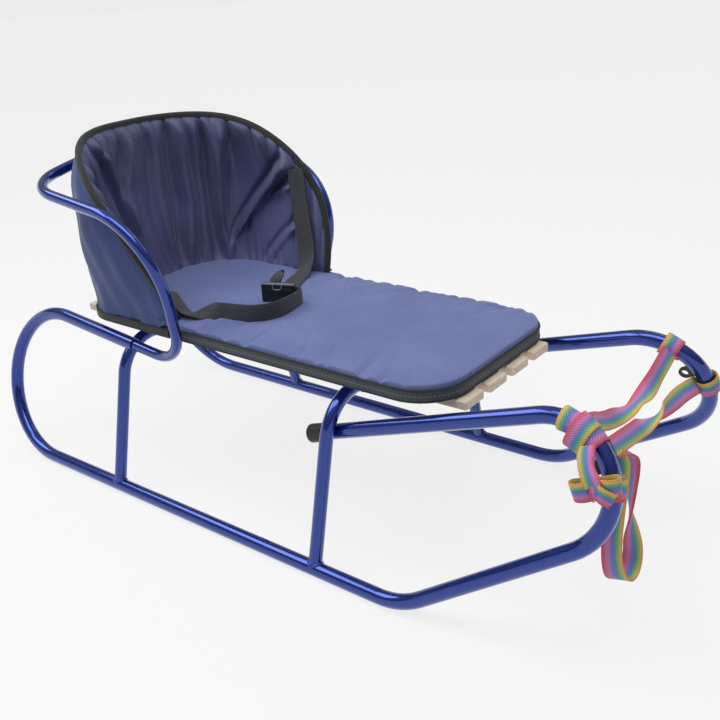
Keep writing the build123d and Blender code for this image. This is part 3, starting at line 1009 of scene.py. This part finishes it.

# %% [markdown]
# ## Seat pad
# The pad is foam sewn into twill. It starts as a thin block with rounded corners, a little
# smaller than the finished pad. The block is remeshed into even squares, and a cloth simulation
# with some pressure inside swells it, as foam does under a cover. A subdivided cube would be rounder
# than foam, which stays flat in the middle. The underside stays flat on the slats, and creases are
# moved in afterwards, along the sewn edge.

# %% Seat pad block
pad_low, pad_high = [Vector(corner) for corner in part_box("seat_pad")]
pad_inset = 2 * MM
rear_corner = 65 * MM
front_corner = 55 * MM
pad_middle = (pad_low + pad_high) / 2
pad_size = pad_high - pad_low - Vector((2 * pad_inset, 2 * pad_inset, 5 * MM))
bpy.ops.object.select_all(action="DESELECT")
bpy.ops.mesh.primitive_cube_add(size=1, location=(0, 0, 0))
pad = bpy.context.object
pad.name = "seat_pad_cushion"
pad.scale = pad_size
pad.location = pad_middle - Vector((0, 0, 1.5 * MM))
bpy.ops.object.transform_apply(location=True, scale=True)
for rear, radius in ((True, rear_corner), (False, front_corner)):
    bpy.ops.object.mode_set(mode="EDIT")
    bpy.ops.mesh.select_mode(type="EDGE")
    bpy.ops.mesh.select_all(action="DESELECT")
    bpy.ops.object.mode_set(mode="OBJECT")
    for edge in pad.data.edges:
        a, b = [pad.data.vertices[i].co for i in edge.vertices]
        standing = abs(a.x - b.x) + abs(a.y - b.y) < MM
        edge.select = standing and (a.x < pad_middle.x) == rear
    bpy.ops.object.mode_set(mode="EDIT")
    bpy.ops.mesh.bevel(offset=radius, segments=12)
    bpy.ops.object.mode_set(mode="OBJECT")
pad.data.remesh_voxel_size = 5 * MM
bpy.ops.object.voxel_remesh()
print("pad block", len(pad.data.polygons), "faces")

# %% Swell the pad
pad_cap = 5 * MM  # the most that a place may move
swell_frames = 20
before = np.array([v.co[:] for v in pad.data.vertices])
cloth = pad.modifiers.new("swell", "CLOTH")
cloth.settings.use_pressure = True
cloth.settings.uniform_pressure_force = 4.0
cloth.settings.effector_weights.gravity = 0.0
cloth.settings.quality = 5
for moment in range(1, swell_frames + 1):
    bpy.context.scene.frame_set(moment)
swollen = pad.evaluated_get(bpy.context.evaluated_depsgraph_get())
after = np.array([v.co[:] for v in swollen.data.vertices])
pad.modifiers.remove(cloth)
bpy.context.scene.frame_set(1)
move = after - before
far = np.linalg.norm(move, axis=1, keepdims=True)
move *= np.minimum(1.0, pad_cap / np.maximum(far, 1e-9))
for vertex, place in zip(pad.data.vertices, before + move):
    vertex.co = place
print("pad swelled by up to", np.linalg.norm(move, axis=1).max())
pad.modifiers.new("smooth", "SUBSURF").levels = 1
pad.modifiers["smooth"].render_levels = 1
apply_all(pad)

# %% How far inside its edge a place on the pad is


def edge_depth(x, y):
    """How far points of the pad's outline lie inside its edge, in metres."""
    radius = np.where(x < pad_middle.x, rear_corner, front_corner)
    dx = np.abs(x - pad_middle.x) - (pad_high.x - pad_low.x) / 2 + radius
    dy = np.abs(y) - pad_high.y + radius
    outside = np.hypot(np.maximum(dx, 0), np.maximum(dy, 0))
    return radius - outside - np.minimum(np.maximum(dx, dy), 0)


# %% Creases of the pad
crease_count = 46  # short ones, which run in from the sewn edge
deepest_crease = 5 * MM
wide_dips = [  # place along the pad in metres, slant, width and depth in millimetres
    (0.02, 0.5, 14, 2.2),
    (0.10, -0.8, 18, 1.8),
    (0.17, 0.9, 16, 1.6),
    (-0.06, 1.1, 15, 2.0),
]
dip_reach = 90 * MM  # from the pad's middle line
rng = np.random.default_rng(7)
places = np.array([v.co[:] for v in pad.data.vertices])
depth = edge_depth(places[:, 0], places[:, 1])
top = places[:, 2] > pad_middle.z
sink = np.zeros(len(places))
for _ in range(crease_count):
    side = rng.choice([-1, 1])
    at = rng.uniform(pad_low.x + 0.18, pad_high.x - 0.03)
    slant = rng.uniform(-0.9, 0.9)
    reach = rng.uniform(20, 60) * MM
    width = rng.uniform(3, 7) * MM
    inward = pad_high.y - side * places[:, 1]
    line = places[:, 0] - at - slant * inward
    fade = np.exp(-((inward / reach) ** 2))
    sink += rng.uniform(1.2, 3.4) * MM * np.exp(-((line / width) ** 2)) * fade
for at, slant, width_mm, depth_mm in wide_dips:
    line = (places[:, 0] - at - slant * places[:, 1]) / math.hypot(1, slant)
    fade = np.exp(-((places[:, 1] / dip_reach) ** 2))
    sink += depth_mm * MM * np.exp(-((line / (width_mm * MM)) ** 2)) * fade
print("creases", crease_count, "deepest", sink.max())

# %% Side wall, crown and flat underside of the pad
side_reach = 26 * MM  # the side wall is pushed out to the binding this far in
crown_height = 3 * MM
crown_reach = 22 * MM
step = 0.5 * MM
slope = np.stack(
    [
        edge_depth(places[:, 0] + step, places[:, 1]) - edge_depth(places[:, 0] - step, places[:, 1]),
        edge_depth(places[:, 0], places[:, 1] + step) - edge_depth(places[:, 0], places[:, 1] - step),
    ],
    axis=1,
) / (2 * step)
near_edge = np.clip((side_reach - depth) / (14 * MM), 0, 1)
side_wall = near_edge * np.clip((pad_high.z - places[:, 2]) / (4 * MM), 0, 1)
places[:, :2] -= slope * (depth * side_wall)[:, None]
crown = crown_height * (1 - np.exp(-np.clip(depth, 0, None) / crown_reach))
places[:, 2] += np.where(top, crown - np.minimum(sink, deepest_crease), 0)
places[:, 2] = np.maximum(places[:, 2], pad_low.z + 0.4 * MM)
for vertex, place in zip(pad.data.vertices, places):
    vertex.co = place
pad.data.update()
only(pad)
bpy.ops.object.shade_smooth()
settle(pad, seat_twill_painted_lighter, "navy_cloth", "seat_pad")

# %% [markdown]
# ## Binding round the pad
# A woven tape closes the pad's side, with a corded seam above and below. It could be cut out of the
# pad's own faces, but as a ribbon on its edge along the pad's outline it gets an even width and a
# UV map for its stitches.

# %% Outline of the pad and its binding


def pad_outline(offset):
    """Points round the pad's edge, from the middle of its back, in plan."""
    rear_x = pad_low.x - offset
    front_x = pad_high.x + offset
    half = pad_high.y + offset
    corners = [
        (rear_x, -half, rear_corner),
        (front_x, -half, front_corner),
        (front_x, half, front_corner),
        (rear_x, half, rear_corner),
    ]
    line = [Vector((rear_x, 0, 0))]
    for number, (x, y, radius) in enumerate(corners):
        middle = Vector((x - math.copysign(radius, x), y - math.copysign(radius, y), 0))
        for i in range(13):
            angle = math.radians(180 + 90 * number + 7.5 * i)
            line.append(middle + Vector((math.cos(angle), math.sin(angle), 0)) * radius)
    return [*line, Vector((rear_x, 0, 0))]


band_width = 12 * MM
band_height = pad_low.z + 8.5 * MM
upright = Vector((0, 0, 1))
outline = [p + upright * band_height for p in pad_outline(0.6 * MM)]
band = ribbon("pad_binding", outline, [upright] * len(outline), band_width, 2.4 * MM)
piping = []
for height in (-0.5, 0.5):
    line = [p + upright * (band_height + height * band_width) for p in pad_outline(1.0 * MM)]
    piping.append(ribbon("pad_piping", line, [upright] * len(line), 2.8 * MM, 2.8 * MM, round_section))
settle(band, grey_tape, "navy_cloth")
settle(joined("pad_piping", piping), tape, "navy_cloth")

# %% [markdown]
# ## Bucket
# The bucket is a padded wall sewn round the back of the pad. Its outside is smooth, and its inside
# is a lining that is gathered into the rim, so folds run down from the rim and fade on the way.
# A simulation would fold it anywhere, and these folds have their places, so one grid is bent into
# the outside and the lining: each place on it has a share along the wall, from the right front to
# the left front, and a share of the wall's height at that place.

# %% Shape of the bucket's wall
pad_top = pad_high.z
wall_heights = np.array([0.3, 80, 150, 226]) * MM  # above the pad
outer_form = [  # back, half width and corner radius at those heights
    np.polyfit(wall_heights, np.array(sizes) * MM, 3)
    for sizes in ([-306, -318, -325, -333], [129, 151, 157, 130], [62, 106, 129, 117])
]
inner_form = [
    np.polyfit(wall_heights, np.array(sizes) * MM, 3)
    for sizes in ([-266, -288, -303, -313], [107, 132, 138, 111], [86, 100, 113, 99])
]
wall_fronts = (-124 * MM, -73.5 * MM)  # where the wall ends on the pad, right and left
rim_radius = 229 * MM
rim_middle = (-332 * MM, 224 * MM)
rim_skew = math.radians(12)  # the cushion sits askew, with its left side forward


def plan(share, height, form):
    """A place on a form at a share of its way round, for a height above the pad."""
    back, half, corner = [np.polyval(curve, np.maximum(height, 0)) for curve in form]
    straight = np.where(share < 0.5, *wall_fronts) - back - corner
    arc = corner * math.pi / 2
    flat = half - corner
    total = 2 * (straight + arc + flat)
    way = np.abs(share - 0.5) * total  # from the middle of the back
    turn = np.clip((way - flat) / corner, 0, math.pi / 2)
    x = back + corner * (1 - np.cos(turn)) + np.maximum(way - flat - arc, 0)
    y = np.minimum(way, flat) + corner * np.sin(turn)
    return np.stack([x, y * np.where(share < 0.5, -1, 1)], axis=1)


def middle(share, height):
    """A place halfway through the wall."""
    return (plan(share, height, outer_form) + plan(share, height, inner_form)) / 2


def across_rim(place):
    """Distance of places in plan from the rim's axis, along the sled's length as the cushion sits."""
    return (place[:, 0] - rim_middle[0]) * math.cos(rim_skew) - place[:, 1] * math.sin(rim_skew)


def rim_height(share):
    """Height of the rim above the pad, where the wall meets the rounded cut."""
    height = np.full_like(share, 150 * MM)
    for _ in range(80):  # the wall leans, so its place and the rim's height settle together
        reach = np.clip(rim_radius**2 - across_rim(middle(share, height)) ** 2, 0, None)
        target = rim_middle[1] - pad_top + np.sqrt(reach)
        height = 0.6 * height + 0.4 * np.clip(target, 0.5 * MM, 217 * MM)
    return height


columns = 360
rows = 56
even = np.linspace(0, 1, columns)
shares = even - 0.7 * np.sin(2 * math.pi * even) / (2 * math.pi)
tops = rim_height(shares)
print("rim from", tops.min(), "to", tops.max(), "above the pad")

# %% Bend a grid into the wall
hem_drop = 22 * MM  # how far the outside reaches down over the pad's edge
rim_fullness = 0.3  # share of the wall's thickness that is left at the rim
rim_swell = 14 * MM  # way from the rim in which the wall fills out
bpy.ops.object.select_all(action="DESELECT")
bpy.ops.mesh.primitive_grid_add(x_subdivisions=columns - 1, y_subdivisions=2 * rows - 1, size=1)
bucket = bpy.context.object
bucket.name = "seat_bucket_cushion"
flat = np.array([v.co[:] for v in bucket.data.vertices])
column = np.rint((flat[:, 0] + 0.5) * (columns - 1)).astype(int)
row = np.rint((flat[:, 1] + 0.5) * (2 * rows - 1)).astype(int)
lining = row >= rows
level = np.where(lining, (2 * rows - 1 - row) / (rows - 1), row / (rows - 1))
share = shares[column]
skirt = np.clip(np.minimum(share, 1 - share) / 0.06, 0.1, 1)  # the hem runs out at both fronts
foot = np.where(lining, -1.0 * MM, -hem_drop * skirt)
height = foot + level * (tops[column] - foot)
outer = plan(share, height, outer_form)
inner = plan(share, height, inner_form)
through = outer - inner
wall_thick = np.linalg.norm(through, axis=1, keepdims=True)
outward = through / wall_thick
core = (outer + inner) / 2
rim_reach = np.hypot(across_rim(core), pad_top + height - rim_middle[1])
from_rim = np.maximum(rim_radius - rim_reach, 0)
fullness = rim_fullness + (1 - rim_fullness) * (1 - np.exp(-from_rim / rim_swell))
half_thick = np.where(height < 0, 1.0, fullness) * wall_thick[:, 0] / 2
print("wall", wall_thick.min(), "to", wall_thick.max(), "thick before its rim is pinched")

# %% [markdown]
# The rim's seam nips the lining at uneven steps, and the cloth bulges between two nips. Below them,
# long folds hang down to the foot, each a valley with a ridge beside it. All of them are sums of
# smooth bumps, which move the lining in and out along the wall's thickness.

# %% Gather the lining
rng = np.random.default_rng(11)
wall_way = 0.8  # length of the wall's way round, in metres
gathers = np.array(  # shares of the way where the rim's seam nips the lining
    [-0.02, 0.03, 0.07, 0.12, 0.16, 0.2, 0.25, 0.29, 0.338, 0.38, 0.42, 0.463, 0.503, 0.542]
    + [0.568, 0.598, 0.638, 0.675, 0.697, 0.735, 0.792, 0.83, 0.86, 0.9, 0.94, 0.98, 1.02]
)
number = np.clip(np.searchsorted(gathers, share) - 1, 0, len(gathers) - 2)
within = np.clip((share - gathers[number]) / (gathers[number + 1] - gathers[number]), 0, 1)
pillow = np.sin(math.pi * within) ** 0.7  # round bulges with sharp creases between them
nip_depth = rng.uniform(10.0, 17.0, len(gathers))[number] * MM
nip_reach = rng.uniform(32.0, 62.0, len(gathers))[number] * MM
folds = pillow * nip_depth * np.exp(-((from_rim / nip_reach) ** 1.4)) - 2.5 * MM
foot_wave = np.sin(share * wall_way / (19 * MM) * 2 * math.pi + 3 * np.sin(share * 31))
folds += 3.0 * MM * foot_wave * np.exp(-np.maximum(height, 0) / (17 * MM))
print("nips", len(gathers), "deepest", folds.max())

# %% Long folds of the lining
long_folds = [  # (share, level) places from the rim to the foot, depth, width, side of its ridge
    ([(0.338, 0.95), (0.38, 0.82), (0.413, 0.55), (0.43, 0.3)], 9, 13, 1),
    ([(0.475, 0.95), (0.455, 0.8), (0.43, 0.6), (0.42, 0.4)], 7, 17, 1),
    ([(0.542, 0.95), (0.535, 0.75), (0.52, 0.5), (0.515, 0.1)], 6, 17, 1),
    ([(0.598, 0.97), (0.59, 0.72), (0.588, 0.42), (0.56, 0.1)], 12, 20, 1),
    ([(0.638, 0.97), (0.632, 0.7), (0.63, 0.4), (0.61, 0.05)], 6, 13, 1),
    ([(0.675, 0.95), (0.667, 0.6), (0.664, 0.37), (0.664, 0.05)], 12, 18, 1),
    ([(0.738, 0.93), (0.715, 0.7), (0.7, 0.5), (0.69, 0.2)], 8, 14, -1),
    ([(0.86, 0.9), (0.81, 0.63), (0.755, 0.4), (0.69, 0.12)], 10, 13, 1),
    ([(0.907, 0.93), (0.845, 0.62), (0.787, 0.4), (0.71, 0.14)], 9, 12, -1),
    ([(0.885, 0.75), (0.84, 0.6), (0.8, 0.5), (0.75, 0.3)], 6, 10, 1),
    ([(0.94, 0.7), (0.89, 0.4), (0.84, 0.2), (0.8, 0.05)], 6, 12, 1),
    ([(0.28, 0.93), (0.31, 0.7), (0.35, 0.4), (0.37, 0.1)], 8, 13, 1),
    ([(0.2, 0.92), (0.22, 0.6), (0.26, 0.35), (0.3, 0.1)], 8, 14, -1),
    ([(0.12, 0.9), (0.15, 0.6), (0.2, 0.3), (0.24, 0.1)], 7, 13, 1),
]
for line, depth_mm, width_mm, side in long_folds:
    at_level, at_share = zip(*[(spot_level, spot_share) for spot_share, spot_level in reversed(line)])
    away = (share - np.interp(level, at_level, at_share)) * wall_way / (width_mm * MM)
    valley = np.exp(-((away / 0.55) ** 2))
    ridge = np.exp(-(((away - side) / 0.8) ** 2))
    lower_end = np.clip((level - at_level[0] + 0.12) / 0.2, 0, 1)
    upper_end = np.clip((at_level[-1] + 0.06 - level) / 0.12, 0, 1)
    ends = lower_end * upper_end
    folds += depth_mm * MM * (ridge - 1.1 * valley) * ends
print("long folds", len(long_folds), "from", folds.min(), "to", folds.max())

# %% Hold the folds, and move the wall
strap_share = np.interp(level, [0, 0.3, 1], [0.985, 0.96, 0.92])
under_strap = np.exp(-(((share - strap_share) / 0.03) ** 2))
folds *= 1 - 0.85 * under_strap  # the strap presses the folds flat
held = 1 - np.exp(-from_rim / (6 * MM))  # the rim's seam holds both cloths
folds *= held * np.clip(height / (8 * MM), 0, 1)
folds = np.maximum(folds, -1.2 * half_thick)  # a valley stays inside the wall
broad_wave = 1.2 * MM * np.sin(share * 41 + height * 60)
fine_wave = 0.8 * MM * np.sin(share * 97 - height * 35)
soft = (broad_wave + fine_wave) * held
for panel_seam in (0.33, 0.67):  # the outside is sewn from three panels
    soft -= 2.2 * MM * np.exp(-(((share - panel_seam) * wall_way / (4 * MM)) ** 2)) * held
hem = 2.2 * MM * np.exp(-np.maximum(height, 0) / (14 * MM))  # the outside laps over the pad's edge
offset = np.where(lining, -half_thick - folds, half_thick + soft + hem)
bent = core + outward * offset[:, None]
for vertex, (px, py), pz in zip(bucket.data.vertices, bent, height):
    vertex.co = (px, py, pad_top + pz)
print("lining moved by", folds.min(), "to", folds.max())

# %% Close the wall
only(bucket)
bpy.ops.object.mode_set(mode="EDIT")
bpy.ops.mesh.select_mode(type="EDGE")
bpy.ops.mesh.select_all(action="DESELECT")
bpy.ops.object.mode_set(mode="OBJECT")
for edge in bucket.data.edges:
    a, b = edge.vertices
    edge.select = bool(row[a] == row[b] and row[a] in (0, 2 * rows - 1))
bpy.ops.object.mode_set(mode="EDIT")
bpy.ops.mesh.bridge_edge_loops()
bpy.ops.mesh.select_all(action="SELECT")
bpy.ops.mesh.fill_holes(sides=0)
bpy.ops.mesh.select_all(action="SELECT")
bpy.ops.mesh.normals_make_consistent(inside=False)
bpy.ops.object.mode_set(mode="OBJECT")
bpy.ops.object.shade_smooth()
settle(bucket, back_twill_painted_darker, "navy_cloth", "seat_bucket")
bucket.data.materials.append(lining_twill_painted_darker)
inside = set(np.flatnonzero(lining).tolist())
for polygon in bucket.data.polygons:
    polygon.material_index = int(all(index in inside for index in polygon.vertices))

# %% [markdown]
# The rim is closed with a tape folded over both cloths, and a flat tape covers the seam at the foot.
# Both follow lines that the wall's own formulas give, so they lie on it all the way round.

# %% Tape on the rim and round the foot
tape_width = 13 * MM
rim_tail = 9 * MM  # each end of the rim's tape is tucked in behind the pad
rim_line = middle(shares, tops)
rim = [Vector((px, py, pad_top + pz)) for (px, py), pz in zip(rim_line, tops)]
rim = [rim[0] - upright * rim_tail, *rim, rim[-1] - upright * rim_tail]
rim_through = plan(shares, tops, outer_form) - plan(shares, tops, inner_form)
rim_out = [Vector((px, py, 0)).normalized() for px, py in rim_through]
rim_out = [rim_out[0], *rim_out, rim_out[-1]]
rim_across = [tangent.cross(out) for tangent, out in zip(tangents_of(rim), rim_out)]
rim_tape = ribbon("bucket_rim_tape", rim, rim_across, tape_width, 9 * MM, round_section)
settle(rim_tape, tape, "navy_cloth")

foot_drop = 16 * MM
foot_out = 3.4 * MM  # clear of the cloth under it
foot_plan = plan(shares, np.zeros_like(shares), outer_form)
foot_line = [Vector((px, py, pad_top - foot_drop)) for px, py in foot_plan]
foot_line = [spot + out * foot_out for spot, out in zip(foot_line, rim_out[1:-1])]
foot_ways = [upright] * len(foot_line)
foot_tape = ribbon("bucket_foot_tape", foot_line, foot_ways, 11 * MM, 3 * MM)
settle(foot_tape, tape, "navy_cloth")

# %% [markdown]
# ## Nuts under the slats
# Each slat is bolted to both arches. A nut is a six-sided cylinder with its corners taken off,
# modelled once and copied to every bolt. Threads would never be seen from below. Zinc plating is a
# bright grey metal with a faint spangle.

# %% Slat nuts
arch_places = [-210 * MM, 136 * MM]
slat_middles = [-74.25 * MM, -24.75 * MM, 24.75 * MM, 74.25 * MM]
bar_bottom = 191.9 * MM
spangle_mm = 1.11
bpy.ops.object.select_all(action="DESELECT")
bpy.ops.mesh.primitive_cylinder_add(
    vertices=6, radius=5.2 * MM, depth=4.5 * MM, location=(0, 0, 0)
)
nut = bpy.context.object
bpy.ops.object.mode_set(mode="EDIT")
bpy.ops.mesh.select_mode(type="FACE")
bpy.ops.mesh.select_all(action="SELECT")
bpy.ops.mesh.bevel(offset=0.5 * MM, segments=2)
bpy.ops.object.mode_set(mode="OBJECT")
nuts = []
for x in arch_places:
    for y in slat_middles:
        copy = bpy.data.objects.new("slat_nut", nut.data.copy())
        bpy.context.scene.collection.objects.link(copy)
        copy.location = (x, y, bar_bottom - 1.2 * MM)
        nuts.append(copy)
bpy.data.objects.remove(nut)
nuts = joined("slat_nuts", nuts)
apply_all(nuts)
zinc, tree, shader = new_material("zinc-plated steel", Metallic=1.0, Roughness=0.35)
place = node(tree, "ShaderNodeTexCoord").outputs["Object"]
spangle = node(tree, "ShaderNodeTexNoise", Vector=place, Scale=1 / (spangle_mm * MM))
spangle_stops = [(0.3, "#a9adb2"), (0.7, "#c9cdd1")]
spangle_tint = node(
    tree, "ShaderNodeValToRGB", {"stops": spangle_stops}, Fac=spangle.outputs["Fac"]
)
tree.links.new(spangle_tint.outputs["Color"], shader.inputs["Base Color"])
settle(nuts, zinc, "blue_steel")

# %% [markdown]
# ## Weld beads
# Each arch stands on the rails and is welded all round. The bead follows the saddle where the two
# tubes meet: on top of the rail before and behind the leg, and lower on both sides of it. A boolean
# would find that line, but it is also a short formula, so a thin round ribbon is drawn along it,
# with the small ripples of a welder's hand.

# %% Weld beads at the arches' feet
leg_lean = math.radians(14)
foot_side = 184 * MM
leg_radius = 8.2 * MM
rail_radius = 9.1 * MM
bead_size = 3.0 * MM
ripple_size = 0.25 * MM
ripples = 24
beads = []
for x in arch_places:
    for side in (-1, 1):
        leg = Vector((0, -side * math.sin(leg_lean), math.cos(leg_lean)))
        level_way = Vector((1, 0, 0))
        side_way = leg.cross(level_way)
        saddle = []
        ways = []
        for i in range(97):
            turn = math.radians(i * 3.75)
            radial = level_way * math.cos(turn) + side_way * math.sin(turn)
            rise = math.sqrt(rail_radius**2 - (leg_radius * math.sin(turn)) ** 2)
            ripple = ripple_size * math.sin(turn * ripples)
            rail_middle = Vector((x, side * foot_side, rail_radius))
            saddle.append(rail_middle + leg * rise + radial * (leg_radius + ripple))
            ways.append(radial)
        beads.append(ribbon("weld_bead", saddle, ways, bead_size, bead_size, round_section))
settle(joined("weld_beads", beads), enamel, "blue_steel")
